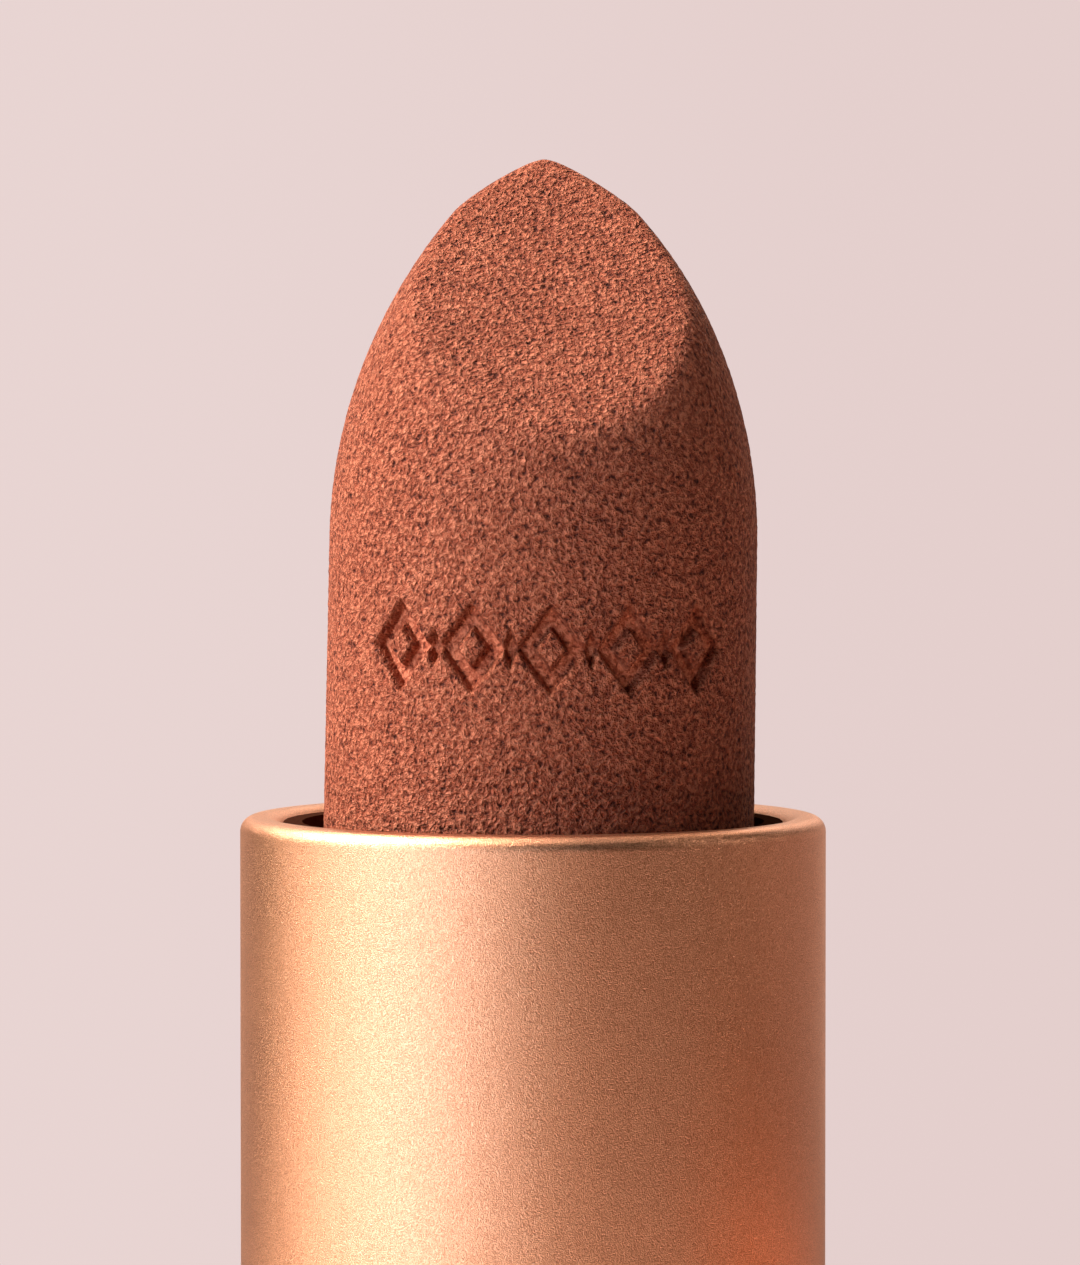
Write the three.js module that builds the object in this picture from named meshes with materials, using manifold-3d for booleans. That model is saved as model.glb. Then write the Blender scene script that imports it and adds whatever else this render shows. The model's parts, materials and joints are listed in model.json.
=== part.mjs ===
// A twist-up lipstick case, standing open with its stick raised and its cap stood beside it.
// Millimetres, +Z up. The origin is the centre of the case's underside, and -Y is the front.

import * as THREE from 'three';
import { mergeVertices } from 'three/addons/utils/BufferGeometryUtils.js';
import Module from 'manifold-3d';

const wasm = await Module();
wasm.setup();

// Driving dimensions.

const ROUND_STEPS = 40;
const MERGE_DISTANCE = 1e-5;
const RUNNING_GAP = 0.08;
const SEAT_GAP = 0.05;
// How far a joined or cutting block runs into the body it meets.
const BLEND = 0.3;

const CASE_RADIUS = 9.8;
const SHELL_WALL = 0.45;
const SHELL_BORE = CASE_RADIUS - SHELL_WALL;
const INSERT_RADIUS = SHELL_BORE - SEAT_GAP;

const BASE_HEIGHT = 28;
const BASE_CORNER = 0.7;
const LABEL_RADIUS = 7.5;
const LABEL_THICKNESS = 0.2;
const LABEL_RECESS_RADIUS = 7.6;
const LABEL_RECESS_DEPTH = 0.25;
const BASE_FLOOR_TOP = 0.75;

const WEIGHT_RADIUS = 9.0;
const WEIGHT_CHAMFER = 0.4;
const BASE_WEIGHT_BOTTOM = 0.8;
const BASE_WEIGHT_TOP = 7.8;

const CORE_BOTTOM = 7.85;
const CORE_FLOOR_TOP = 8.85;
const CORE_TOP = 19.95;
const CORE_SKIRT_WALL = 0.7;
const SOCKET_OUTER = 5.9;
const SOCKET_BORE = 4.4;
const SOCKET_TOP = 18.9;
const CORE_RIB_COUNT = 6;
const CORE_RIB_THICKNESS = 0.8;
const CORE_RIB_TOP = 17.9;

const KNOB_RADIUS = 4.2;
const KNOB_BORE = 3.3;
const KNOB_BOTTOM = 9.2;
const KNOB_HOLLOW_TOP = 19.2;
const SPLINE_COUNT = 8;
const SPLINE_REACH = 4.85;
const SPLINE_WIDTH = 0.9;
const SPLINE_GAP = 0.15;

const BODY_FLANGE_RADIUS = 9.2;
const BODY_FLANGE_BOTTOM = 20.0;
const BODY_FLANGE_TOP = 21.6;
const BODY_FLOOR_TOP = 22.6;
const BODY_BORE = 6.53;
const BODY_RADIUS = 7.05;
const BODY_TOP = 57.85;
const SLOT_HALF_WIDTH = 0.8;
const SLOT_BOTTOM = 24.2;
const SLOT_TOP = 49.0;

const WASHER_BOTTOM = 21.65;
const WASHER_TOP = 21.95;
const WASHER_INNER = 7.75;
const WASHER_OUTER = 8.5;

const CAM_BORE = BODY_RADIUS + RUNNING_GAP;
const CAM_RADIUS = 7.75;
const CAM_BOTTOM = 22.03;
const CAM_FLANGE_TOP = 23.0;
const CAM_FLANGE_RADIUS = 8.55;
const CAM_TOP = 56.5;
const COUNTERBORE_RADIUS = 7.62;
const COUNTERBORE_DEPTH = 1.1;
const BRAKE_RING_CENTRE = 7.335;
const BRAKE_RING_THICKNESS = 0.5;

const PIN_RADIUS = 0.6;
const PIN_REACH = 7.48;
const PIN_HEIGHT = 45;
const GROOVE_FLOOR = 7.56;
const GROOVE_HALF_HEIGHT = 0.86;
const LIFT_PER_TURN = 16;
const TURN_UP = 67.5;
const TURN_DOWN = 445.5;
const GROOVE_END_TURN = 7.5;

const SLEEVE_RADIUS = 8.265;
const SLEEVE_BORE = 7.8;
const SLEEVE_BOTTOM = 23.05;
const RIM_TOP = 58;
const LIP_WIDTH = 1.15;
const LIP_HEIGHT = 1.1;
const LIP_OUTER_CURVE = 0.42;
const LIP_INNER_CURVE = 0.45;

const NECK_SKIRT_BORE = 8.65;
const NECK_SKIRT_TOP = 23.15;
const NECK_BORE = SLEEVE_RADIUS + 0.135;
const COLLAR_RADIUS = 8.78;
const COLLAR_TOP = 31.6;
const SNAP_BEAD_RADIUS = 8.86;
const SNAP_BEAD_HEIGHT = 30.3;
const SNAP_BEAD_HALF_WIDTH = 0.5;

const TRIM_BORE = 8.84;
const TRIM_BOTTOM = 28.03;
const TRIM_TOP = 28.85;
const TRIM_EDGE = 0.25;

const CUP_RADIUS = 6.45;
const CUP_BORE = 6.02;
const CUP_BOTTOM = 43;
const CUP_FLOOR_TOP = 43.8;
const CUP_TOP = 53;

const STICK_SEAT_RADIUS = 5.88;
const STICK_SEAT_BOTTOM = 43.95;
const STICK_SEAT_TOP = 53.15;
const STICK_RADIUS = 6.07;
const STICK_TIP_HEIGHT = 76.56;
const STICK_LEAN = THREE.MathUtils.degToRad(0.9);
const STICK_LEAN_CENTRE = 47.2;
const STICK_YAW = THREE.MathUtils.degToRad(2.5);
const NOSE_DEPTH = 1.55;
const NOSE_FLAT = 0.5;
const NOSE_HANDLE = 0.5;
const OGIVE_ARC_RADIUS = 14.4;
const OGIVE_LENGTH = 10.83;
const OGIVE_END_RADIUS = 6.03;
const DRAFT_END_DEPTH = 18.5;
const NOSE_LEAN_BACK = 2.9;
const NOSE_LEAN_DEPTH = 4.5;
const NOSE_LEAN_POWER = 2.2;
const FACET_SLOPE = 1.08;
const FACET_AXIS_DEPTH = 2.3;

const CAP_DISTANCE = 26;
const CAP_HEIGHT = 44;
const CAP_CORNER = 0.8;
const CAP_TOP_THICKNESS = 0.6;
const LINER_BORE = 8.97;
const LINER_BOTTOM = 0.7;
const LINER_CEILING = 34.2;
const LINER_TOP = 35.2;
const LINER_RIB_COUNT = 6;
const LINER_RIB_REACH = 0.07;
const LINER_RIB_WIDTH = 0.9;
const LINER_RIB_BOTTOM = 1.3;
const LINER_RIB_TOP = 12;
const CAP_WEIGHT_BOTTOM = 35.3;
const CAP_WEIGHT_TOP = 40.3;

// Materials.

function material(color, roughness, metalness) {
  return new THREE.MeshStandardMaterial({ color, roughness, metalness });
}

const roseGoldSatin = material(0xb87a5e, 0.38, 1);
const roseGoldPolished = material(0xc98c6e, 0.15, 1);
const brickWax = material(0x8a3526, 0.62, 0);
const darkPlastic = material(0x2a1d1a, 0.5, 0);
const paleAcetal = material(0xe6ded4, 0.42, 0);
const blackPlastic = material(0x1c1817, 0.55, 0);
const greySilicone = material(0x8c8a88, 0.7, 0);
const whiteFluoropolymer = material(0xf0efec, 0.4, 0);
const plainSteel = material(0x8f9194, 0.45, 1);
const labelFilm = material(0xd9c3b8, 0.5, 0);

// Geometry helpers.

// Points on a circular arc in the profile plane, where x is the radius and y the height.
function arcPoints(centreX, centreY, radius, fromDegrees, toDegrees, steps) {
  const from = THREE.MathUtils.degToRad(fromDegrees);
  const to = THREE.MathUtils.degToRad(toDegrees);
  const arc = new THREE.EllipseCurve(centreX, centreY, radius, radius, from, to, to < from);
  return arc.getPoints(steps).map((point) => [point.x, point.y]);
}

// A solid of revolution about Z from [radius, height] points given anticlockwise.
function revolve(points) {
  const profile = points.map(([radius, height]) => new THREE.Vector2(radius, height));
  profile.push(profile[0].clone());
  const geometry = new THREE.LatheGeometry(profile, ROUND_STEPS);
  geometry.rotateX(Math.PI / 2);
  return geometry;
}

function ring(inner, outer, bottom, top) {
  return revolve([[inner, bottom], [outer, bottom], [outer, top], [inner, top]]);
}

// A block between two radii, centred on one bearing about Z.
function radialBlock(inner, outer, width, bottom, top, bearing) {
  const block = new THREE.BoxGeometry(outer - inner, width, top - bottom);
  block.translate((inner + outer) / 2, 0, (bottom + top) / 2);
  block.rotateZ(bearing);
  return block;
}

function radialBlocks(count, inner, outer, width, bottom, top) {
  const blocks = [];
  for (let i = 0; i < count; i += 1) {
    blocks.push(radialBlock(inner, outer, width, bottom, top, (2 * Math.PI * i) / count));
  }
  return blocks;
}

function toSolid(geometry) {
  const bare = geometry.clone();
  bare.deleteAttribute('normal');
  bare.deleteAttribute('uv');
  const merged = mergeVertices(bare, MERGE_DISTANCE);
  const index = merged.index.array;
  const triVerts = [];
  for (let i = 0; i < index.length; i += 3) {
    const corners = [index[i], index[i + 1], index[i + 2]];
    if (new Set(corners).size === 3) {
      triVerts.push(...corners);
    }
  }
  return new wasm.Manifold(new wasm.Mesh({
    numProp: 3,
    vertProperties: new Float32Array(merged.attributes.position.array),
    triVerts: new Uint32Array(triVerts),
  }));
}

function toGeometry(solid) {
  const mesh = solid.getMesh();
  const geometry = new THREE.BufferGeometry();
  geometry.setAttribute('position', new THREE.BufferAttribute(mesh.vertProperties, 3));
  geometry.setIndex(new THREE.BufferAttribute(mesh.triVerts, 1));
  geometry.computeVertexNormals();
  return geometry;
}

function joined(body, additions) {
  return additions.reduce((solid, geometry) => solid.add(toSolid(geometry)), body);
}

function cut(body, tools) {
  return tools.reduce((solid, geometry) => solid.subtract(toSolid(geometry)), body);
}

function named(name, geometry, finish) {
  const mesh = new THREE.Mesh(geometry, finish);
  mesh.name = name;
  return mesh;
}

// The base: a drawn shell over a plastic core, with a weight, and the fixed half of the mechanism.

function baseShell() {
  return revolve([
    [0, LABEL_RECESS_DEPTH],
    [LABEL_RECESS_RADIUS, LABEL_RECESS_DEPTH],
    [LABEL_RECESS_RADIUS + 0.1, 0],
    ...arcPoints(CASE_RADIUS - BASE_CORNER, BASE_CORNER, BASE_CORNER, -90, 0, 4),
    [CASE_RADIUS, BASE_HEIGHT],
    [SHELL_BORE, BASE_HEIGHT],
    [SHELL_BORE, BASE_FLOOR_TOP],
    [0, BASE_FLOOR_TOP],
  ]);
}

function labelDisc() {
  return revolve([[0, 0], [LABEL_RADIUS, 0], [LABEL_RADIUS, LABEL_THICKNESS], [0, LABEL_THICKNESS]]);
}

function weightSlug(bottom, top) {
  return revolve([
    [0, bottom],
    [WEIGHT_RADIUS - WEIGHT_CHAMFER, bottom],
    [WEIGHT_RADIUS, bottom + WEIGHT_CHAMFER],
    [WEIGHT_RADIUS, top - WEIGHT_CHAMFER],
    [WEIGHT_RADIUS - WEIGHT_CHAMFER, top],
    [0, top],
  ]);
}

function baseCore() {
  const skirtBore = INSERT_RADIUS - CORE_SKIRT_WALL;
  const body = toSolid(revolve([
    [0, CORE_BOTTOM],
    [INSERT_RADIUS, CORE_BOTTOM],
    [INSERT_RADIUS, CORE_TOP],
    [skirtBore, CORE_TOP],
    [skirtBore, CORE_FLOOR_TOP],
    [SOCKET_OUTER, CORE_FLOOR_TOP],
    [SOCKET_OUTER, SOCKET_TOP],
    [SOCKET_BORE, SOCKET_TOP],
    [SOCKET_BORE, CORE_FLOOR_TOP],
    [0, CORE_FLOOR_TOP],
  ]));
  const ribs = radialBlocks(
    CORE_RIB_COUNT, SOCKET_OUTER - BLEND, skirtBore + BLEND, CORE_RIB_THICKNESS,
    CORE_FLOOR_TOP - BLEND, CORE_RIB_TOP);
  const keyways = radialBlocks(
    SPLINE_COUNT, KNOB_RADIUS - BLEND, SPLINE_REACH + SPLINE_GAP, SPLINE_WIDTH + 2 * SPLINE_GAP,
    CORE_FLOOR_TOP, SOCKET_TOP + BLEND);
  return toGeometry(cut(joined(body, ribs), keyways));
}

function innerBody() {
  const body = toSolid(revolve([
    [0, KNOB_HOLLOW_TOP],
    [KNOB_BORE, KNOB_HOLLOW_TOP],
    [KNOB_BORE, KNOB_BOTTOM],
    [KNOB_RADIUS, KNOB_BOTTOM],
    [KNOB_RADIUS, BODY_FLANGE_BOTTOM],
    [BODY_FLANGE_RADIUS, BODY_FLANGE_BOTTOM],
    [BODY_FLANGE_RADIUS, BODY_FLANGE_TOP],
    [BODY_RADIUS, BODY_FLANGE_TOP],
    [BODY_RADIUS, BODY_TOP],
    [BODY_BORE, BODY_TOP],
    [BODY_BORE, BODY_FLOOR_TOP],
    [0, BODY_FLOOR_TOP],
  ]));
  const splines = radialBlocks(
    SPLINE_COUNT, KNOB_BORE + BLEND, SPLINE_REACH, SPLINE_WIDTH, KNOB_BOTTOM + BLEND, SOCKET_TOP);
  const slots = radialBlocks(
    2, BODY_BORE - BLEND, BODY_RADIUS + BLEND, 2 * SLOT_HALF_WIDTH, SLOT_BOTTOM, SLOT_TOP);
  return toGeometry(cut(joined(body, splines), slots));
}

function brakeRing(height) {
  return revolve(arcPoints(BRAKE_RING_CENTRE, height, BRAKE_RING_THICKNESS / 2, 0, 300, 5));
}

function neckRing() {
  return revolve([
    [NECK_SKIRT_BORE, WASHER_BOTTOM],
    [INSERT_RADIUS, WASHER_BOTTOM],
    [INSERT_RADIUS, BASE_HEIGHT - 0.02],
    [COLLAR_RADIUS, BASE_HEIGHT - 0.02],
    [COLLAR_RADIUS, SNAP_BEAD_HEIGHT - SNAP_BEAD_HALF_WIDTH],
    [SNAP_BEAD_RADIUS, SNAP_BEAD_HEIGHT],
    [COLLAR_RADIUS, SNAP_BEAD_HEIGHT + SNAP_BEAD_HALF_WIDTH],
    [COLLAR_RADIUS, COLLAR_TOP - 0.12],
    [COLLAR_RADIUS - 0.12, COLLAR_TOP],
    [NECK_BORE, COLLAR_TOP],
    [NECK_BORE, NECK_SKIRT_TOP],
    [NECK_SKIRT_BORE, NECK_SKIRT_TOP],
  ]);
}

function trimRing() {
  return revolve([
    [TRIM_BORE, TRIM_BOTTOM],
    [CASE_RADIUS - TRIM_EDGE, TRIM_BOTTOM],
    [CASE_RADIUS, TRIM_BOTTOM + TRIM_EDGE],
    [CASE_RADIUS, TRIM_TOP - TRIM_EDGE],
    [CASE_RADIUS - TRIM_EDGE, TRIM_TOP],
    [TRIM_BORE, TRIM_TOP],
  ]);
}

// The turning half: the visible sleeve and the grooved cam tube inside it.

function sleeveShell() {
  const outerCentre = SLEEVE_RADIUS - LIP_OUTER_CURVE;
  const innerCentre = SLEEVE_RADIUS - LIP_WIDTH + LIP_INNER_CURVE;
  const lipBottom = RIM_TOP - LIP_HEIGHT;
  return revolve([
    [SLEEVE_BORE, SLEEVE_BOTTOM],
    [SLEEVE_RADIUS, SLEEVE_BOTTOM],
    ...arcPoints(outerCentre, RIM_TOP - LIP_OUTER_CURVE, LIP_OUTER_CURVE, 0, 90, 4),
    ...arcPoints(innerCentre, RIM_TOP - LIP_INNER_CURVE, LIP_INNER_CURVE, 90, 180, 3),
    ...arcPoints(innerCentre, lipBottom + LIP_INNER_CURVE, LIP_INNER_CURVE, 180, 270, 3),
    [SLEEVE_BORE, lipBottom],
  ]);
}

// One arm of the helical groove, as a bar wrapped round the axis. It falls as its bearing grows.
function grooveBar(startBearing) {
  const fromTurn = -TURN_UP - GROOVE_END_TURN;
  const sweep = TURN_DOWN + TURN_UP + 2 * GROOVE_END_TURN;
  const steps = Math.round((sweep * ROUND_STEPS) / 360);
  const inner = CAM_BORE - BLEND;
  const bar = new THREE.BoxGeometry(sweep, GROOVE_FLOOR - inner, 2 * GROOVE_HALF_HEIGHT, steps, 1, 1);
  const position = bar.attributes.position;
  for (let i = 0; i < position.count; i += 1) {
    const turn = fromTurn + position.getX(i) + sweep / 2;
    const radius = (inner + GROOVE_FLOOR) / 2 - position.getY(i);
    const bearing = startBearing + THREE.MathUtils.degToRad(turn);
    const height = PIN_HEIGHT - (LIFT_PER_TURN * turn) / 360 + position.getZ(i);
    position.setXYZ(i, radius * Math.cos(bearing), radius * Math.sin(bearing), height);
  }
  return bar;
}

function camTube() {
  const body = toSolid(revolve([
    [COUNTERBORE_RADIUS, CAM_BOTTOM],
    [CAM_FLANGE_RADIUS, CAM_BOTTOM],
    [CAM_FLANGE_RADIUS, CAM_FLANGE_TOP],
    [CAM_RADIUS, CAM_FLANGE_TOP],
    [CAM_RADIUS, CAM_TOP],
    [COUNTERBORE_RADIUS, CAM_TOP],
    [COUNTERBORE_RADIUS, CAM_TOP - COUNTERBORE_DEPTH],
    [CAM_BORE, CAM_TOP - COUNTERBORE_DEPTH],
    [CAM_BORE, CAM_BOTTOM + COUNTERBORE_DEPTH],
    [COUNTERBORE_RADIUS, CAM_BOTTOM + COUNTERBORE_DEPTH],
  ]));
  return toGeometry(cut(body, [grooveBar(0), grooveBar(Math.PI)]));
}

// The rising half: the cup on its two pins, and the stick of wax seated in it.

function cupPin(direction) {
  const inner = CUP_BORE + (CUP_RADIUS - CUP_BORE) / 2;
  const pin = new THREE.CylinderGeometry(PIN_RADIUS, PIN_RADIUS, PIN_REACH - inner, 12);
  pin.rotateZ(Math.PI / 2);
  pin.translate((direction * (inner + PIN_REACH)) / 2, 0, PIN_HEIGHT);
  return pin;
}

function carrierCup() {
  const body = toSolid(revolve([
    [0, CUP_BOTTOM],
    [CUP_RADIUS, CUP_BOTTOM],
    [CUP_RADIUS, CUP_TOP],
    [CUP_BORE, CUP_TOP],
    [CUP_BORE, CUP_FLOOR_TOP],
    [0, CUP_FLOOR_TOP],
  ]));
  return toGeometry(joined(body, [cupPin(1), cupPin(-1)]));
}

// [radius, depth below the tip] down the side of the stick: blunt tip, ogive, then slight draft.
function stickOutline() {
  const arcCentreRadius = OGIVE_END_RADIUS - OGIVE_ARC_RADIUS;
  const shoulderAngle = Math.asin((OGIVE_LENGTH - NOSE_DEPTH) / OGIVE_ARC_RADIUS);
  const shoulderRadius = arcCentreRadius + OGIVE_ARC_RADIUS * Math.cos(shoulderAngle);
  const nose = new THREE.CubicBezierCurve(
    new THREE.Vector2(0, 0),
    new THREE.Vector2(NOSE_FLAT, 0),
    new THREE.Vector2(shoulderRadius - 0.84 * NOSE_HANDLE, NOSE_DEPTH - NOSE_HANDLE),
    new THREE.Vector2(shoulderRadius, NOSE_DEPTH),
  );
  const shoulderDegrees = THREE.MathUtils.radToDeg(shoulderAngle);
  const side = arcPoints(arcCentreRadius, OGIVE_LENGTH, OGIVE_ARC_RADIUS, -shoulderDegrees, 0, 9);
  return [
    ...nose.getPoints(4).slice(0, -1).map((point) => [point.x, point.y]),
    ...side,
    [STICK_RADIUS, DRAFT_END_DEPTH],
  ];
}

function stick() {
  const height = (depth) => STICK_TIP_HEIGHT - STICK_LEAN_CENTRE - depth;
  const outline = stickOutline().map(([radius, depth]) => [radius, height(depth)]);
  const seatTop = STICK_SEAT_TOP - STICK_LEAN_CENTRE;
  const seatBottom = STICK_SEAT_BOTTOM - STICK_LEAN_CENTRE;
  const body = revolve([
    [0, seatBottom],
    [STICK_SEAT_RADIUS, seatBottom],
    [STICK_SEAT_RADIUS, seatTop],
    [STICK_RADIUS, seatTop],
    ...outline.reverse(),
  ]);
  const position = body.attributes.position;
  for (let i = 0; i < position.count; i += 1) {
    const depth = height(0) - position.getZ(i);
    const lean = Math.max(0, 1 - depth / NOSE_LEAN_DEPTH);
    position.setY(i, position.getY(i) + NOSE_LEAN_BACK * lean ** NOSE_LEAN_POWER);
  }
  const blockSize = 30;
  const waste = new THREE.BoxGeometry(blockSize, blockSize, blockSize);
  waste.translate(0, -blockSize / 2, 0);
  waste.rotateX(-Math.atan(FACET_SLOPE));
  waste.translate(0, 0, height(FACET_AXIS_DEPTH));
  return toGeometry(cut(toSolid(body), [waste]));
}

// The cap: a drawn shell, a plastic liner that grips the collar, and a weight in its crown.

function capShell() {
  return revolve([
    [0, CAP_HEIGHT - CAP_TOP_THICKNESS],
    [SHELL_BORE, CAP_HEIGHT - CAP_TOP_THICKNESS],
    [SHELL_BORE, 0],
    [CASE_RADIUS, 0],
    ...arcPoints(CASE_RADIUS - CAP_CORNER, CAP_HEIGHT - CAP_CORNER, CAP_CORNER, 0, 90, 4),
    [0, CAP_HEIGHT],
  ]);
}

function capLiner() {
  const body = toSolid(revolve([
    [0, LINER_CEILING],
    [LINER_BORE, LINER_CEILING],
    [LINER_BORE, LINER_BOTTOM],
    [INSERT_RADIUS, LINER_BOTTOM],
    [INSERT_RADIUS, LINER_TOP],
    [0, LINER_TOP],
  ]));
  const ribs = radialBlocks(
    LINER_RIB_COUNT, LINER_BORE - LINER_RIB_REACH, (LINER_BORE + INSERT_RADIUS) / 2, LINER_RIB_WIDTH,
    LINER_RIB_BOTTOM, LINER_RIB_TOP);
  return toGeometry(joined(body, ribs));
}

// Assembly.

function basePieces() {
  const lowerRing = CAM_BOTTOM + COUNTERBORE_DEPTH / 2;
  const upperRing = CAM_TOP - COUNTERBORE_DEPTH / 2;
  return [
    named('base_shell', baseShell(), roseGoldSatin),
    named('shade_label', labelDisc(), labelFilm),
    named('base_weight', weightSlug(BASE_WEIGHT_BOTTOM, BASE_WEIGHT_TOP), plainSteel),
    named('base_core', baseCore(), blackPlastic),
    named('inner_body', innerBody(), darkPlastic),
    named('slip_washer', ring(WASHER_INNER, WASHER_OUTER, WASHER_BOTTOM, WASHER_TOP), whiteFluoropolymer),
    named('lower_brake_ring', brakeRing(lowerRing), greySilicone),
    named('upper_brake_ring', brakeRing(upperRing), greySilicone),
    named('neck_ring', neckRing(), darkPlastic),
    named('trim_ring', trimRing(), roseGoldPolished),
  ];
}

function sleevePieces() {
  return [
    named('sleeve_shell', sleeveShell(), roseGoldSatin),
    named('cam_tube', camTube(), darkPlastic),
  ];
}

function carrierPieces() {
  const lipstick = named('lipstick_stick', stick(), brickWax);
  lipstick.position.z = STICK_LEAN_CENTRE;
  lipstick.rotation.set(0, STICK_LEAN, STICK_YAW);
  return [named('carrier_cup', carrierCup(), paleAcetal), lipstick];
}

function capPieces() {
  return [
    named('cap_shell', capShell(), roseGoldSatin),
    named('cap_liner', capLiner(), darkPlastic),
    named('cap_weight', weightSlug(CAP_WEIGHT_BOTTOM, CAP_WEIGHT_TOP), plainSteel),
  ];
}

const lipstickCase = new THREE.Group();
lipstickCase.add(...basePieces(), ...sleevePieces(), ...carrierPieces());

const cap = new THREE.Group();
cap.position.x = CAP_DISTANCE;
cap.add(...capPieces());
lipstickCase.add(cap);

export default lipstickCase;
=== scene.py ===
# A twist-up lipstick case in satin rose gold, standing open beside its cap.
# Sizes below are millimetres unless a name says otherwise; Blender's own are metres.

import json
import math

import bpy
import numpy as np
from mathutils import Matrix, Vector, noise


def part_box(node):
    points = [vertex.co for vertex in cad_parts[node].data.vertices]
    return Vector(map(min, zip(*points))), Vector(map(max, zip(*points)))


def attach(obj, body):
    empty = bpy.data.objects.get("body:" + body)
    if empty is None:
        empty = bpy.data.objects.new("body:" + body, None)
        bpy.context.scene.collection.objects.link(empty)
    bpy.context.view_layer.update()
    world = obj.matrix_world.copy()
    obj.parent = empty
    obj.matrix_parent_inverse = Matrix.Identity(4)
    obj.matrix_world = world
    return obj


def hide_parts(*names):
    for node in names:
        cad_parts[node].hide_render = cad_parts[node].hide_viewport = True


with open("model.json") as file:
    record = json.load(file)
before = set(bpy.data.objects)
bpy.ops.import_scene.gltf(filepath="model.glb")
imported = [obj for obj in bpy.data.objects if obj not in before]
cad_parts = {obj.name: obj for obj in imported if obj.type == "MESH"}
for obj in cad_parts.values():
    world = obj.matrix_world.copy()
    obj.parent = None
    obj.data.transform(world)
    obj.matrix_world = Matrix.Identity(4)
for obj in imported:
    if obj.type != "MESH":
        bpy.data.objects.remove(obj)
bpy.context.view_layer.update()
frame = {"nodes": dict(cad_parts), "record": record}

MM = 0.001
ROUND_SEGMENTS = 192
ON_AXIS = 1e-9


# Places worked out from the frame.

def radius_and_span(node):
    """Outer radius, bottom and top of a round CAD node on the case's axis, in millimetres."""
    low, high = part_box(node)
    return high.x / MM, low.z / MM, high.z / MM


CAP_LOW, CAP_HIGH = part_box("cap_shell")
CAP_X = (CAP_LOW.x + CAP_HIGH.x) / 2 / MM
CASE_RADIUS, _, BASE_TOP = radius_and_span("base_shell")
SLEEVE_RADIUS, SLEEVE_BOTTOM, RIM_TOP = radius_and_span("sleeve_shell")
CAP_HEIGHT = CAP_HIGH.z / MM


# The camera looks along the photograph's line, a little down on the rim.

VIEW_ELEVATION = math.radians(2.85)
VIEW_DISTANCE = 250.0
VIEW_HEIGHT = 35.68
AIM_ABOVE_RIM = 5.175
AIM_SIDE = 0.197
SENSOR = 36.0
NEAREST_SEEN = 0.01
FARTHEST_SEEN = 20


def make_camera():
    """The lens is set by how high a strip of the object the picture shows at that distance."""
    data = bpy.data.cameras.new("camera")
    data.sensor_width = SENSOR
    data.lens = SENSOR * VIEW_DISTANCE / VIEW_HEIGHT
    data.clip_start = NEAREST_SEEN
    data.clip_end = FARTHEST_SEEN
    camera = bpy.data.objects.new("camera", data)
    bpy.context.scene.collection.objects.link(camera)
    aim = Vector((AIM_SIDE, 0, RIM_TOP + AIM_ABOVE_RIM)) * MM
    back = Vector((0, -math.cos(VIEW_ELEVATION), math.sin(VIEW_ELEVATION)))
    camera.location = aim + back * VIEW_DISTANCE * MM
    camera.rotation_mode = "QUATERNION"
    camera.rotation_quaternion = (-back).to_track_quat("-Z", "Y")
    bpy.context.scene.camera = camera


# Lights, all at one distance from the rim. Azimuth 0 is the camera's side and positive turns to its
# right. Angles are in degrees, widths and heights in metres and powers in watts.

LIGHT_DISTANCE = 0.5


def direction(azimuth, elevation):
    """The unit vector from the rim towards a light."""
    a = math.radians(azimuth)
    e = math.radians(elevation)
    return Vector((math.sin(a) * math.cos(e), -math.cos(a) * math.cos(e), math.sin(e)))


def soft_light(name, azimuth, elevation, size, power, colour):
    """A rectangular light that faces the rim and that the camera can't see."""
    data = bpy.data.lights.new(name, "AREA")
    data.shape = "RECTANGLE"
    data.size, data.size_y = size
    data.energy = power
    data.color = colour
    light = bpy.data.objects.new(name, data)
    bpy.context.scene.collection.objects.link(light)
    toward = direction(azimuth, elevation)
    light.location = Vector((0, 0, RIM_TOP * MM)) + toward * LIGHT_DISTANCE
    light.rotation_mode = "QUATERNION"
    light.rotation_quaternion = toward.to_track_quat("Z", "Y")
    light.visible_camera = False


def make_lights():
    soft_light("key", -93, 48, (0.36, 0.36), 7.3, (1.0, 0.97, 0.93))
    soft_light("low_key", -76, 28, (0.3, 0.22), 0.5, (0.9, 0.93, 1.0))
    soft_light("panel", -48, 1, (0.5, 0.12), 1.75, (0.6, 0.79, 1.0))
    soft_light("left_wall", -94, 1, (0.36, 0.12), 0.42, (1.0, 1.0, 0.85))
    soft_light("left_edge", -156, 2, (0.2, 0.2), 0.06, (1.0, 0.66, 0.45))
    soft_light("front", -6, 1, (0.34, 0.12), 0.06, (1.0, 0.85, 0.7))
    soft_light("right_wall", 118, 1, (0.5, 0.12), 0.12, (1.0, 0.7, 0.6))
    soft_light("edge", 160, 6, (0.24, 0.24), 0.1, (1.0, 0.68, 0.5))
    soft_light("low_back", 180, 23, (0.5, 0.12), 0.42, (1.0, 0.86, 0.72))
    soft_light("right_strip", 88, 26, (0.3, 0.05), 0.22, (1.0, 0.9, 0.82))
    soft_light("back", 160, 60, (0.2, 0.24), 0.5, (1.0, 0.86, 0.7))
    soft_light("overhead", 60, 86, (0.2, 0.2), 0.3, (1.0, 1.0, 1.0))


# Shader helpers.

def new_material(name):
    material = bpy.data.materials.new(name)
    material.use_nodes = True
    tree = material.node_tree
    tree.nodes.clear()
    output = tree.nodes.new("ShaderNodeOutputMaterial")
    shader = tree.nodes.new("ShaderNodeBsdfPrincipled")
    tree.links.new(shader.outputs["BSDF"], output.inputs["Surface"])
    return material, tree, shader


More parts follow.
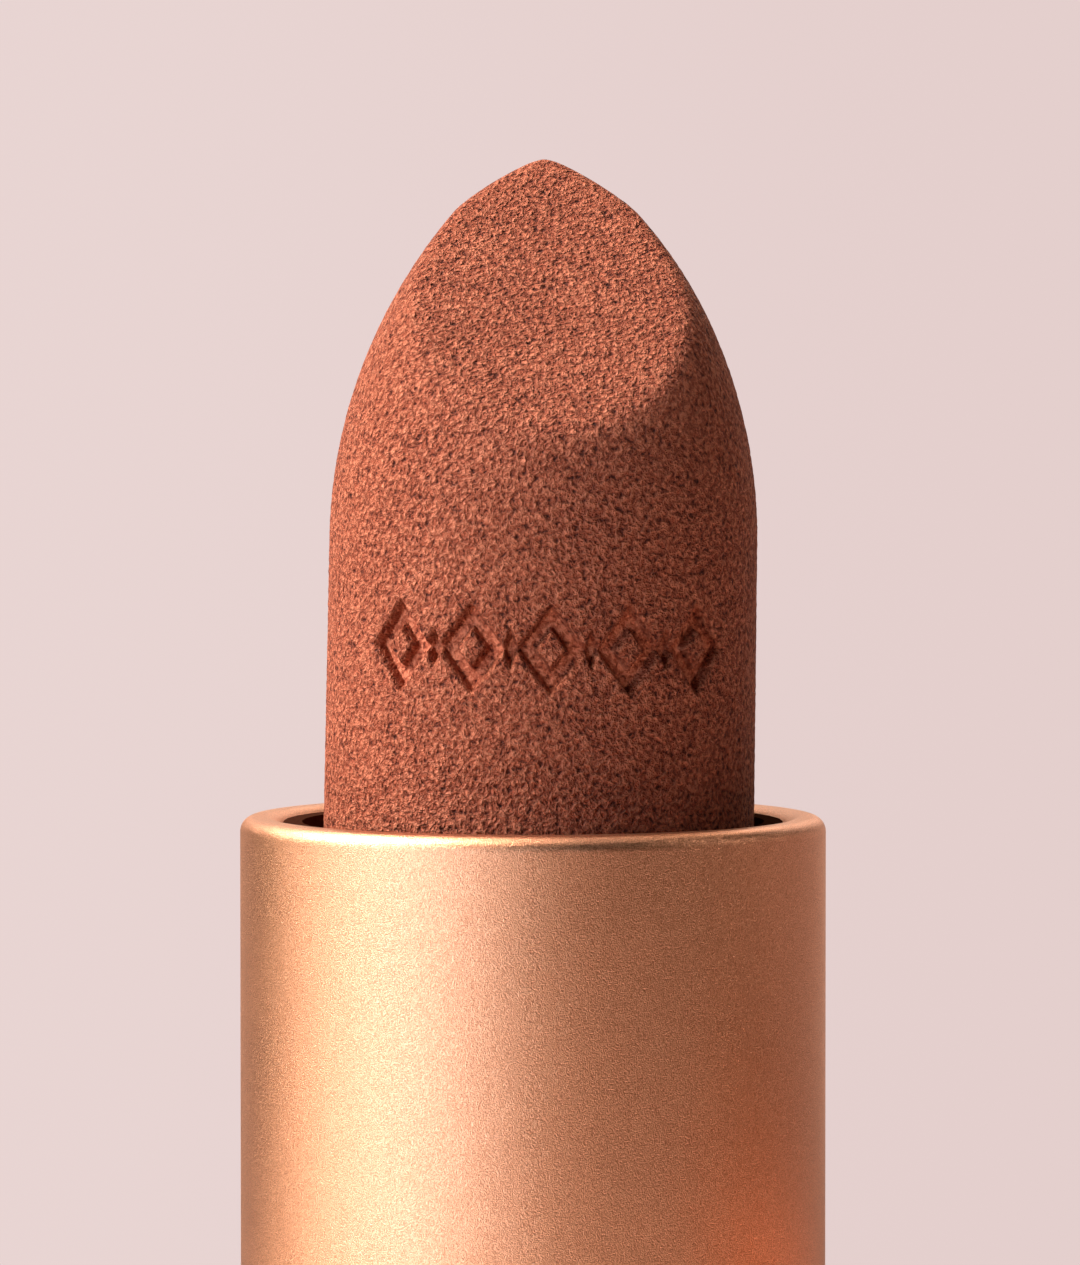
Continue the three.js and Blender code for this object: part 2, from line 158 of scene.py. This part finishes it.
def position(tree):
    return tree.nodes.new("ShaderNodeTexCoord").outputs["Object"]


def noise_height(tree, coordinates, width, detail=2.0, roughness=0.5, distortion=0.0):
    """Smooth noise whose lumps are about the given width across, in millimetres."""
    node = tree.nodes.new("ShaderNodeTexNoise")
    node.inputs["Scale"].default_value = 1 / (width * MM)
    node.inputs["Detail"].default_value = detail
    node.inputs["Roughness"].default_value = roughness
    node.inputs["Distortion"].default_value = distortion
    tree.links.new(coordinates, node.inputs["Vector"])
    return node.outputs["Fac"]


def ramp(tree, value, stops):
    """A colour that runs smoothly through the (value, colour) stops."""
    node = tree.nodes.new("ShaderNodeValToRGB")
    node.color_ramp.interpolation = "EASE"
    first, last = node.color_ramp.elements
    first.position, first.color = stops[0][0], (*stops[0][1], 1)
    last.position, last.color = stops[-1][0], (*stops[-1][1], 1)
    for place, colour in stops[1:-1]:
        node.color_ramp.elements.new(place).color = (*colour, 1)
    tree.links.new(value, node.inputs["Fac"])
    return node.outputs["Color"]


def math_node(tree, operation, first, second):
    node = tree.nodes.new("ShaderNodeMath")
    node.operation = operation
    for socket, value in zip(node.inputs, (first, second)):
        if isinstance(value, (int, float)):
            socket.default_value = value
        else:
            tree.links.new(value, socket)
    return node.outputs["Value"]


def multiplied(tree, first, second):
    """The product of two colours."""
    node = tree.nodes.new("ShaderNodeMix")
    node.data_type = "RGBA"
    node.blend_type = "MULTIPLY"
    node.inputs["Factor"].default_value = 1
    tree.links.new(first, node.inputs["A"])
    tree.links.new(second, node.inputs["B"])
    return node.outputs["Result"]


def bump(tree, height, depth):
    """The normal of a surface whose relief is height times depth in millimetres."""
    node = tree.nodes.new("ShaderNodeBump")
    node.inputs["Strength"].default_value = 1
    node.inputs["Distance"].default_value = depth * MM
    tree.links.new(height, node.inputs["Height"])
    return node.outputs["Normal"]


def mapped(tree, value, low, high):
    """A 0 to 1 value spread between low and high."""
    node = tree.nodes.new("ShaderNodeMapRange")
    node.inputs["To Min"].default_value = low
    node.inputs["To Max"].default_value = high
    tree.links.new(value, node.inputs["Value"])
    return node.outputs["Result"]


# Materials.

def satin_metal():
    """Sandblasted, anodised aluminium: fine pits over a soft sheen."""
    pit_width = 0.033
    pit_depth = 0.018
    cloud_width = 3.0
    material, tree, shader = new_material("satin_rose_gold")
    where = position(tree)
    grain = noise_height(tree, where, pit_width, detail=1, roughness=0.5)
    cloud = noise_height(tree, where, cloud_width, detail=2)
    tone = ramp(tree, grain, [(0.35, (0.66, 0.25, 0.12)), (0.65, (1.0, 0.48, 0.27))])
    tree.links.new(tone, shader.inputs["Base Color"])
    tree.links.new(mapped(tree, cloud, 0.26, 0.34), shader.inputs["Roughness"])
    tree.links.new(bump(tree, grain, pit_depth), shader.inputs["Normal"])
    shader.inputs["Metallic"].default_value = 1
    shader.inputs["Coat Weight"].default_value = 0.12
    shader.inputs["Coat Roughness"].default_value = 0.35
    return material


def polished_metal():
    """The same aluminium, polished to a near mirror."""
    wave_width = 0.4
    wave_depth = 0.002
    material, tree, shader = new_material("polished_rose_gold")
    turning = noise_height(tree, position(tree), wave_width, detail=3)
    tone = ramp(tree, turning, [(0.3, (0.78, 0.36, 0.21)), (0.7, (0.86, 0.42, 0.25))])
    tree.links.new(tone, shader.inputs["Base Color"])
    tree.links.new(mapped(tree, turning, 0.12, 0.2), shader.inputs["Roughness"])
    tree.links.new(bump(tree, turning, wave_depth), shader.inputs["Normal"])
    shader.inputs["Metallic"].default_value = 1
    return material


def brick_wax():
    """Matte pressed wax: short crumbs and ridges, with small pores among them; painted shade darkens the
    creases, valleys and pores.
    """
    crumb_width = 0.15
    fold_width = 0.21
    pore_width = 0.2
    patch_width = 1.6
    crease_share = 0.8
    pore_rim = 0.33
    pore_share = 1.6
    relief_depth = 0.62
    material, tree, shader = new_material("brick_wax")
    where = position(tree)
    lumps = noise_height(tree, where, crumb_width, detail=3, roughness=0.6, distortion=0.5)
    folds = noise_height(tree, where, fold_width, detail=2, roughness=0.5, distortion=0.3)
    crease = math_node(tree, "ABSOLUTE", math_node(tree, "SUBTRACT", folds, 0.5), 0)
    crumbs = math_node(tree, "SUBTRACT", lumps, math_node(tree, "MULTIPLY", crease, crease_share))
    pores = noise_height(tree, where, pore_width, detail=1, roughness=0.4)
    broad = noise_height(tree, where, patch_width, detail=3)
    # The wax's own red, darkened to a painted shade where the crumbs dip into creases and valleys.
    tone = ramp(tree, crumbs, [
        (0.22, (0.10, 0.015, 0.006)),
        (0.38, (0.40, 0.086, 0.038)),
        (0.58, (0.72, 0.212, 0.107)),
    ])
    # Painted shade in the pores: the colour darkens where the pore noise dips into hollows.
    painted_pore_shade = ramp(tree, pores, [(0.24, (0.4, 0.32, 0.3)), (pore_rim, (1, 1, 1))])
    patches = ramp(tree, broad, [(0.3, (0.88, 0.84, 0.82)), (0.7, (1, 1, 1))])
    colour = multiplied(tree, multiplied(tree, tone, painted_pore_shade), patches)
    tree.links.new(colour, shader.inputs["Base Color"])
    tree.links.new(mapped(tree, crumbs, 0.8, 0.5), shader.inputs["Roughness"])
    roughened = tree.nodes.new("ShaderNodeAttribute")
    roughened.attribute_name = "roughened"
    hollows = math_node(tree, "MULTIPLY", math_node(tree, "MINIMUM", pores, pore_rim), pore_share)
    height = math_node(tree, "ADD", crumbs, hollows)
    relief = math_node(tree, "MULTIPLY", height, roughened.outputs["Fac"])
    tree.links.new(bump(tree, relief, relief_depth), shader.inputs["Normal"])
    shader.inputs["Specular IOR Level"].default_value = 0.15
    return material


def moulded_plastic(name, dark, light, roughness, grain=0.12, depth=0.006, shine=0.5):
    """Any moulded piece: a faint grain in colour, roughness and height."""
    spread = 0.06
    material, tree, shader = new_material(name)
    height = noise_height(tree, position(tree), grain, detail=3)
    tree.links.new(ramp(tree, height, [(0.3, dark), (0.7, light)]), shader.inputs["Base Color"])
    tree.links.new(mapped(tree, height, roughness - spread, roughness + spread), shader.inputs["Roughness"])
    tree.links.new(bump(tree, height, depth), shader.inputs["Normal"])
    shader.inputs["Specular IOR Level"].default_value = shine
    return material


def turned_steel():
    """Plain steel as it comes off the lathe."""
    grain_width = 0.3
    grain_depth = 0.01
    material, tree, shader = new_material("plain_steel")
    grain = noise_height(tree, position(tree), grain_width, detail=4)
    tone = ramp(tree, grain, [(0.3, (0.36, 0.36, 0.37)), (0.7, (0.5, 0.5, 0.51))])
    tree.links.new(tone, shader.inputs["Base Color"])
    tree.links.new(mapped(tree, grain, 0.35, 0.5), shader.inputs["Roughness"])
    tree.links.new(bump(tree, grain, grain_depth), shader.inputs["Normal"])
    shader.inputs["Metallic"].default_value = 1
    return material


def make_plastics():
    """Every moulded material, by its slot: darker tone, lighter tone and roughness."""
    return {
        "dark_plastic": moulded_plastic(
            "dark_plastic", (0.028, 0.009, 0.005), (0.045, 0.016, 0.009), 0.6, shine=0),
        "pale_acetal": moulded_plastic(
            "pale_acetal", (0.62, 0.57, 0.5), (0.72, 0.68, 0.61), 0.45),
        "black_plastic": moulded_plastic(
            "black_plastic", (0.012, 0.011, 0.011), (0.03, 0.028, 0.027), 0.55),
        "grey_silicone": moulded_plastic(
            "grey_silicone", (0.22, 0.21, 0.2), (0.3, 0.29, 0.28), 0.7),
        "white_fluoropolymer": moulded_plastic(
            "white_fluoropolymer", (0.8, 0.79, 0.77), (0.88, 0.87, 0.85), 0.4),
        "label_film": moulded_plastic(
            "label_film", (0.72, 0.56, 0.48), (0.8, 0.64, 0.56), 0.5, grain=0.4, depth=0.002),
    }


def make_materials():
    return {
        "satin_rose_gold": satin_metal(),
        "polished_rose_gold": polished_metal(),
        "brick_wax": brick_wax(),
        "plain_steel": turned_steel(),
        **make_plastics(),
    }


# Mesh helpers.

def fillet(profile, steps=6):
    """Rounds each (radius, height, corner) point of a closed profile."""
    points = []
    count = len(profile)
    for i, (r, z, corner) in enumerate(profile):
        here = np.array((r, z), float)
        before = np.array(profile[i - 1][:2], float) - here
        after = np.array(profile[(i + 1) % count][:2], float) - here
        before /= np.linalg.norm(before)
        after /= np.linalg.norm(after)
        if corner == 0:
            points.append(here)
            continue
        half = math.acos(max(-1, min(1, float(before @ after)))) / 2
        reach = corner / math.tan(half)
        centre = here + (before + after) / np.linalg.norm(before + after) * corner / math.sin(half)
        start = here + before * reach - centre
        end = here + after * reach - centre
        turn = math.atan2(start[0] * end[1] - start[1] * end[0], float(start @ end))
        for k in range(steps + 1):
            a = turn * k / steps
            c, s = math.cos(a), math.sin(a)
            points.append(centre + (start[0] * c - start[1] * s, start[0] * s + start[1] * c))
    return points


def supported(points, inset=0.05, longest=2.0):
    """Adds points just inside the ends of each long stretch and along it, so that shading stays even."""
    result = []
    for i, here in enumerate(points):
        there = points[(i + 1) % len(points)]
        result.append(here)
        length = np.linalg.norm(there - here)
        if length < 6 * inset or (here[0] == 0 and there[0] == 0):
            continue
        stretches = max(1, round(length / longest))
        places = [inset / length] + [k / stretches for k in range(1, stretches)] + [1 - inset / length]
        result += [here + (there - here) * place for place in places]
    return result


def turned(name, profile, centre_x=0.0, steps=6):
    """A closed solid of revolution from anticlockwise (radius, height, corner) points."""
    points = supported(fillet(profile, steps))
    vertices = []
    rows = []
    for r, z in points:
        if r < ON_AXIS:
            rows.append([len(vertices)])
            vertices.append((centre_x, 0, z))
            continue
        rows.append(list(range(len(vertices), len(vertices) + ROUND_SEGMENTS)))
        for k in range(ROUND_SEGMENTS):
            a = 2 * math.pi * k / ROUND_SEGMENTS
            vertices.append((centre_x + r * math.cos(a), r * math.sin(a), z))
    faces = []
    for row, above in zip(rows, rows[1:] + rows[:1]):
        if len(row) == 1 and len(above) == 1:
            continue
        for k in range(ROUND_SEGMENTS):
            n = (k + 1) % ROUND_SEGMENTS
            quad = [row[k % len(row)], row[n % len(row)], above[n % len(above)], above[k % len(above)]]
            faces.append(list(dict.fromkeys(quad)))
    return mesh_object(name, np.array(vertices) * MM, faces)


def mesh_object(name, vertices, faces):
    """A smooth-shaded object from vertices in metres and faces."""
    mesh = bpy.data.meshes.new(name)
    mesh.from_pydata([tuple(v) for v in vertices], [], faces)
    mesh.validate()
    mesh.update()
    mesh.shade_smooth()
    piece = bpy.data.objects.new(name, mesh)
    bpy.context.scene.collection.objects.link(piece)
    return piece


def place(piece, body, node, slot):
    """Gives a piece its material, hides the CAD node it stands for and attaches the piece to the body it
    moves with.
    """
    piece.data.materials.append(MATERIALS[slot])
    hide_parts(node)
    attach(piece, body)


# Metal and plastic pieces of the case, as (radius, height, corner) profiles.

SHELL_WALL = 0.45
SHELL_BORE = CASE_RADIUS - SHELL_WALL
INSERT_GAP = 0.05
INSERT_RADIUS = SHELL_BORE - INSERT_GAP
SHARP = 0.05

LIP_WIDTH = 1.15
LIP_HEIGHT = 1.1
LIP_OUTER_CURVE = 0.42
LIP_INNER_CURVE = 0.45
LIP_STEPS = 12

BASE_RECESS = 0.25
BASE_FLOOR_TOP = 0.75
LABEL_GAP = 0.1
RECESS_SLOPE = 0.08
FOOT_CURVE = 0.7

TRIM_BORE = 8.84

NECK_FOOT_BORE = 8.65
NECK_STEP = 23.15
NECK_SHOULDER = BASE_TOP - 0.02
NECK_RUNNING_GAP = 0.135
COLLAR_RADIUS = 8.78
BEAD_REACH = 0.08
BEAD_HEIGHT = 30.3
BEAD_RISE = 0.5
BEAD_CURVE = 0.3

CAP_TOP_THICKNESS = 0.6
CAP_TOP_CURVE = 0.8


def make_sleeve():
    lip_bore = SLEEVE_RADIUS - LIP_WIDTH
    bore = SLEEVE_RADIUS - SHELL_WALL
    lip_bottom = RIM_TOP - LIP_HEIGHT
    profile = [
        (bore, SLEEVE_BOTTOM, SHARP),
        (SLEEVE_RADIUS, SLEEVE_BOTTOM, SHARP),
        (SLEEVE_RADIUS, RIM_TOP, LIP_OUTER_CURVE),
        (lip_bore, RIM_TOP, LIP_INNER_CURVE),
        (lip_bore, lip_bottom, LIP_INNER_CURVE),
        (bore, lip_bottom, SHARP),
    ]
    place(turned("sleeve", profile, steps=LIP_STEPS), "sleeve", "sleeve_shell", "satin_rose_gold")


def make_base():
    label_radius, _, _ = radius_and_span("shade_label")
    recess = label_radius + LABEL_GAP
    profile = [
        (0, BASE_RECESS, 0),
        (recess, BASE_RECESS, 0.04),
        (recess + RECESS_SLOPE, 0, 0.04),
        (CASE_RADIUS, 0, FOOT_CURVE),
        (CASE_RADIUS, BASE_TOP, 0.06),
        (SHELL_BORE, BASE_TOP, 0.06),
        (SHELL_BORE, BASE_FLOOR_TOP, 0.2),
        (0, BASE_FLOOR_TOP, 0),
    ]
    place(turned("base", profile), "base", "base_shell", "satin_rose_gold")


def make_trim():
    _, bottom, top = radius_and_span("trim_ring")
    profile = [
        (TRIM_BORE, bottom, 0.08),
        (CASE_RADIUS, bottom, 0.25),
        (CASE_RADIUS, top, 0.3),
        (TRIM_BORE, top, 0.08),
    ]
    place(turned("trim", profile), "base", "trim_ring", "polished_rose_gold")


def make_neck():
    _, bottom, top = radius_and_span("neck_ring")
    bore = SLEEVE_RADIUS + NECK_RUNNING_GAP
    profile = [
        (NECK_FOOT_BORE, bottom, SHARP),
        (INSERT_RADIUS, bottom, 0.1),
        (INSERT_RADIUS, NECK_SHOULDER, 0.1),
        (COLLAR_RADIUS, NECK_SHOULDER, 0.04),
        (COLLAR_RADIUS, BEAD_HEIGHT - BEAD_RISE, BEAD_CURVE),
        (COLLAR_RADIUS + BEAD_REACH, BEAD_HEIGHT, BEAD_CURVE),
        (COLLAR_RADIUS, BEAD_HEIGHT + BEAD_RISE, BEAD_CURVE),
        (COLLAR_RADIUS, top, 0.15),
        (bore, top, 0.08),
        (bore, NECK_STEP, 0.04),
        (NECK_FOOT_BORE, NECK_STEP, 0.04),
    ]
    place(turned("neck", profile), "base", "neck_ring", "dark_plastic")


def make_label():
    radius, bottom, top = radius_and_span("shade_label")
    profile = [(0, bottom, 0), (radius, bottom, 0.06), (radius, top, 0.04), (0, top, 0)]
    place(turned("label", profile), "base", "shade_label", "label_film")


def make_cap():
    ceiling = CAP_HEIGHT - CAP_TOP_THICKNESS
    profile = [
        (0, ceiling, 0),
        (SHELL_BORE, ceiling, 0.3),
        (SHELL_BORE, 0, 0.1),
        (CASE_RADIUS, 0, 0.15),
        (CASE_RADIUS, CAP_HEIGHT, CAP_TOP_CURVE),
        (0, CAP_HEIGHT, 0),
    ]
    place(turned("cap", profile, CAP_X), "cap", "cap_shell", "satin_rose_gold")


def dress_cad_nodes():
    """The hidden mechanism keeps its CAD shape and takes its slot's material."""
    slots = {entry["node"]: entry["material_slot"] for entry in frame["record"]["subparts"]}
    for node, piece in frame["nodes"].items():
        piece.data.materials.clear()
        piece.data.materials.append(MATERIALS[slots[node]])


# The stick of wax: a turned body with a blunt ogive nose that leans back, a slanted facet shaved
# off the front, and a frieze of lozenges pressed in. Depths are below the tip.

STICK_RADIUS = 6.07
STICK_SEAT_RADIUS = 5.88
STICK_SEAT_BOTTOM = 43.95
STICK_SEAT_TOP = 53.15
STICK_SEAT_STEP = 0.1
STICK_TIP = 76.56
LEAN = math.radians(0.9)
LEAN_CENTRE = 47.2
YAW = math.radians(2.5)
NOSE = np.array([(0, 0), (0.5, 0), (2.22, 1.05), (2.64, 1.55)])
OGIVE_ARC = 14.4
OGIVE_LENGTH = 10.83
OGIVE_END_RADIUS = 6.03
DRAFT_END = 18.5
NOSE_LEAN_BACK = 2.9
NOSE_LEAN_DEPTH = 4.5
NOSE_LEAN_POWER = 2.2
FACET_SLOPE = 1.08
FACET_AXIS_DEPTH = 2.3
FACET_SOFTNESS = 0.3

BAND_CENTRE = 63.0
BAND_HALF_HEIGHT = 1.22
BAND_DEPTH = 0.3
LOZENGE_HALF_WIDTH = 0.98
LOZENGE_STROKE = 0.42
LOZENGE_PITCH = 2.28
LOZENGE_COUNT = 5
SMALL_HALF_WIDTH = 0.22
SMALL_HALF_HEIGHT = 0.5
BAND_EDGE = 0.05
BAND_MARGIN = 0.15

NOSE_STEPS = 26
NOSE_RING_GAP = 0.085
BAND_RING_GAP = 0.058
BODY_RING_GAP = 0.095
HIDDEN_RINGS = 8
FRONT_HALF_ANGLE = 66
FRONT_STEP_ANGLE = 0.62
BACK_STEP_ANGLE = 1.7

RELIEF_HEIGHT = 0.022
BAND_SMOOTHNESS = 0.85
FINE_CRUMBS = 5.5
FINER_CRUMBS = 9.5
FINER_SHIFT = 7
FINE_SHARE = 0.6
FINER_SHARE = 0.5
SEAT_FADE = 0.5


def nose_points(count):
    """(radius, depth) points along the curve that NOSE steers."""
    t = np.linspace(0, 1, count)[:, None]
    return ((1 - t) ** 3 * NOSE[0] + 3 * (1 - t) ** 2 * t * NOSE[1]
            + 3 * (1 - t) * t ** 2 * NOSE[2] + t ** 3 * NOSE[3])


def side_radius(depth):
    """Radius below the blunt nose: an ogive, then a slight draft down to the straight part."""
    above_ogive_end = np.clip(OGIVE_LENGTH - depth, 0, None)
    arc = OGIVE_END_RADIUS - OGIVE_ARC + np.sqrt(OGIVE_ARC ** 2 - above_ogive_end ** 2)
    share_of_draft = np.clip((depth - OGIVE_LENGTH) / (DRAFT_END - OGIVE_LENGTH), 0, 1)
    return arc + share_of_draft * (STICK_RADIUS - OGIVE_END_RADIUS)


def stick_rows():
    """(radius, depth below the tip) of each ring, closest together across the front band."""
    nose = nose_points(NOSE_STEPS)[1:]
    nose_end = NOSE[3][1]
    band_depth = STICK_TIP - BAND_CENTRE
    band_top = band_depth - BAND_HALF_HEIGHT - BAND_MARGIN
    band_bottom = band_depth + BAND_HALF_HEIGHT + BAND_MARGIN
    hidden_depth = STICK_TIP - RIM_TOP + 1
    seat_top = STICK_TIP - STICK_SEAT_TOP
    seat_bottom = STICK_TIP - STICK_SEAT_BOTTOM
    depths = np.concatenate([
        np.arange(nose_end + NOSE_RING_GAP, band_top, NOSE_RING_GAP),
        np.arange(band_top, band_bottom, BAND_RING_GAP),
        np.arange(band_bottom, hidden_depth, BODY_RING_GAP),
        np.linspace(hidden_depth, seat_top, HIDDEN_RINGS),
    ])
    sides = np.column_stack([side_radius(depths), depths])
    seat = [(STICK_SEAT_RADIUS, seat_top + STICK_SEAT_STEP), (STICK_SEAT_RADIUS, seat_bottom)]
    return np.vstack([nose, sides, seat])


def stick_bearings():
    """Angles round the stick, close together across the front and wider apart behind."""
    front = np.arange(-FRONT_HALF_ANGLE, FRONT_HALF_ANGLE, FRONT_STEP_ANGLE)
    back = np.arange(FRONT_HALF_ANGLE, 360 - FRONT_HALF_ANGLE, BACK_STEP_ANGLE)
    return np.radians(np.concatenate([front, back]))


def lozenge(x, y, half_width, half_height):
    """Signed distance to an upright lozenge, negative inside."""
    return (np.abs(x) * half_height + np.abs(y) * half_width - half_width * half_height) / math.hypot(
        half_width, half_height)


def band_recess(along, up):
    """How far the frieze of open lozenges is pressed in, from 0 to 1."""
    recess = np.zeros_like(along)
    for i in range(LOZENGE_COUNT):
        centre = (i - (LOZENGE_COUNT - 1) / 2) * LOZENGE_PITCH
        outline = lozenge(along - centre, up, LOZENGE_HALF_WIDTH, BAND_HALF_HEIGHT)
        stroke = np.abs(outline + LOZENGE_STROKE / 2) - LOZENGE_STROKE / 2
        recess = np.maximum(recess, np.clip(0.5 - stroke / BAND_EDGE / 2, 0, 1))
    for i in range(LOZENGE_COUNT - 1):
        centre = (i - (LOZENGE_COUNT - 2) / 2) * LOZENGE_PITCH
        small = lozenge(along - centre, up, SMALL_HALF_WIDTH, SMALL_HALF_HEIGHT)
        recess = np.maximum(recess, np.clip(0.5 - small / BAND_EDGE / 2, 0, 1))
    return recess


def crumb_relief(points):
    """Real relief of the pressed wax, about -1 to 1, for each point in millimetres."""
    relief = np.empty(len(points))
    for i, (x, y, z) in enumerate(points):
        fine = noise.noise((x * FINE_CRUMBS, y * FINE_CRUMBS, z * FINE_CRUMBS))
        finer = noise.noise((x * FINER_CRUMBS + FINER_SHIFT, y * FINER_CRUMBS, z * FINER_CRUMBS))
        relief[i] = FINE_SHARE * fine + FINER_SHARE * finer
    return relief


def leaning(points):
    """The points turned a little about the axis and tipped a little to the side."""
    turn = np.array([
        (math.cos(YAW), -math.sin(YAW), 0),
        (math.sin(YAW), math.cos(YAW), 0),
        (0, 0, 1),
    ])
    lean = np.array([
        (math.cos(LEAN), 0, math.sin(LEAN)),
        (0, 1, 0),
        (-math.sin(LEAN), 0, math.cos(LEAN)),
    ])
    pivot = np.array([0, 0, LEAN_CENTRE])
    return (points - pivot) @ turn.T @ lean.T + pivot


def stick_surface(rows, bearings):
    """Points of every ring from the tip down, and how far the band is pressed in at each."""
    radius = rows[:, :1]
    depth = np.repeat(rows[:, 1:], len(bearings), axis=1)
    x = radius * np.sin(bearings)
    y = -radius * np.cos(bearings)
    height = STICK_TIP - depth

    signed_bearings = (bearings + math.pi) % (2 * math.pi) - math.pi
    along = STICK_RADIUS * np.broadcast_to(signed_bearings, depth.shape)
    recess = band_recess(along, height - BAND_CENTRE)
    exposed = np.clip((height - STICK_SEAT_TOP) / SEAT_FADE, 0, 1)
    relief = crumb_relief(np.column_stack([x.ravel(), y.ravel(), height.ravel()]))
    relief = relief.reshape(depth.shape)
    offset = RELIEF_HEIGHT * relief * exposed * (1 - BAND_SMOOTHNESS * recess) - BAND_DEPTH * recess
    x = x * (1 + offset / radius)
    y = y * (1 + offset / radius)

    y = y + NOSE_LEAN_BACK * np.clip(1 - depth / NOSE_LEAN_DEPTH, 0, 1) ** NOSE_LEAN_POWER
    steep = math.hypot(1, FACET_SLOPE)
    beyond = (-y - FACET_SLOPE * (depth - FACET_AXIS_DEPTH)) / steep
    shave = (beyond + np.sqrt(beyond ** 2 + FACET_SOFTNESS ** 2)) / 2
    shave = shave - RELIEF_HEIGHT * relief * (beyond > 0)
    y = y + shave / steep
    height = height - shave * FACET_SLOPE / steep
    return x, y, height, recess


def ring_faces(ring_count, count):
    """Quads between rings of count points, with a fan at each end. Point 0 is the tip."""
    foot = 1 + ring_count * count
    faces = []
    for k in range(count):
        n = (k + 1) % count
        faces.append((0, 1 + k, 1 + n))
        faces.append((foot, foot - count + n, foot - count + k))
        for i in range(ring_count - 1):
            start = 1 + i * count
            faces.append((start + k, start + count + k, start + count + n, start + n))
    return faces


def make_stick():
    rows = stick_rows()
    bearings = stick_bearings()
    x, y, height, recess = stick_surface(rows, bearings)
    tip = [(x[0].mean(), y[0].mean(), height[0].mean())]
    sides = np.column_stack([x.ravel(), y.ravel(), height.ravel()])
    foot = [(0, 0, STICK_SEAT_BOTTOM)]
    points = leaning(np.vstack([tip, sides, foot]))
    piece = mesh_object("stick", points * MM, ring_faces(len(rows), len(bearings)))
    roughened = piece.data.attributes.new("roughened", "FLOAT", "POINT")
    level = np.concatenate([[1], (1 - BAND_SMOOTHNESS * recess).ravel(), [1]])
    roughened.data.foreach_set("value", level.astype(np.float32))
    place(piece, "carrier", "lipstick_stick", "brick_wax")


# The stage: a pale floor round the object, in front of a pale backdrop with painted light, a little
# brighter on the left than on the right.

# Painted light: the backdrop is a little brighter on the left and darker on the right.
BACKDROP_LIT_LEFT = (0.807, 0.661, 0.646)
BACKDROP_SHADED_RIGHT = (0.776, 0.624, 0.610)
STUDIO_DARK = (0.01, 0.008, 0.007)
STUDIO_BEHIND = (0.12, 0.09, 0.08)
BACKDROP_HALF_SPREAD = 0.06
STUDIO_BEHIND_FROM = 0.55
STUDIO_BEHIND_TO = 0.95
FLOOR_RADIUS = 0.25
FLOOR_FADE_FROM = 0.35
FLOOR_FADE_TO = 0.95
FLOOR_SIDES = 128


def make_world():
    """A pale backdrop for the camera, with painted light a little brighter on the left, and a dark studio
    for everything that is reflected.
    """
    world = bpy.data.worlds.new("studio")
    bpy.context.scene.world = world
    world.use_nodes = True
    tree = world.node_tree
    tree.nodes.clear()
    output = tree.nodes.new("ShaderNodeOutputWorld")
    seen = tree.nodes.new("ShaderNodeBackground")
    unseen = tree.nodes.new("ShaderNodeBackground")
    mix = tree.nodes.new("ShaderNodeMixShader")
    path = tree.nodes.new("ShaderNodeLightPath")
    split = tree.nodes.new("ShaderNodeSeparateXYZ")
    tree.links.new(tree.nodes.new("ShaderNodeTexCoord").outputs["Generated"], split.inputs["Vector"])
    side = mapped(tree, split.outputs["X"], 0, 1)
    side.node.inputs["From Min"].default_value = -BACKDROP_HALF_SPREAD
    side.node.inputs["From Max"].default_value = BACKDROP_HALF_SPREAD
    backdrop = ramp(tree, side, [(0, BACKDROP_LIT_LEFT), (1, BACKDROP_SHADED_RIGHT)])
    tree.links.new(backdrop, seen.inputs["Color"])
    studio_stops = [(STUDIO_BEHIND_FROM, STUDIO_DARK), (STUDIO_BEHIND_TO, STUDIO_BEHIND)]
    studio = ramp(tree, split.outputs["Y"], studio_stops)
    tree.links.new(studio, unseen.inputs["Color"])
    tree.links.new(path.outputs["Is Camera Ray"], mix.inputs["Fac"])
    tree.links.new(unseen.outputs["Background"], mix.inputs[1])
    tree.links.new(seen.outputs["Background"], mix.inputs[2])
    tree.links.new(mix.outputs["Shader"], output.inputs["Surface"])


def make_floor():
    """A pale disc that fades out towards its edge."""
    material, tree, shader = new_material("floor")
    output = shader.outputs["BSDF"].links[0].to_node
    clear = tree.nodes.new("ShaderNodeBsdfTransparent")
    mix = tree.nodes.new("ShaderNodeMixShader")
    distance = tree.nodes.new("ShaderNodeVectorMath")
    distance.operation = "LENGTH"
    tree.links.new(position(tree), distance.inputs[0])
    edge = mapped(tree, distance.outputs["Value"], 0, 1)
    edge.node.inputs["From Min"].default_value = FLOOR_RADIUS * FLOOR_FADE_FROM
    edge.node.inputs["From Max"].default_value = FLOOR_RADIUS * FLOOR_FADE_TO
    tree.links.new(edge, mix.inputs["Fac"])
    tree.links.new(shader.outputs["BSDF"], mix.inputs[1])
    tree.links.new(clear.outputs["BSDF"], mix.inputs[2])
    tree.links.new(mix.outputs["Shader"], output.inputs["Surface"])
    shader.inputs["Base Color"].default_value = (0.78, 0.66, 0.64, 1)
    shader.inputs["Roughness"].default_value = 0.8
    bpy.ops.mesh.primitive_circle_add(vertices=FLOOR_SIDES, radius=FLOOR_RADIUS, fill_type="NGON")
    floor = bpy.context.object
    floor.name = "floor"
    floor.data.materials.append(material)


bpy.context.scene.view_settings.view_transform = "Standard"
make_camera()
make_lights()
make_world()
make_floor()
MATERIALS = make_materials()
dress_cad_nodes()
make_base()
make_label()
make_trim()
make_neck()
make_sleeve()
make_stick()
make_cap()
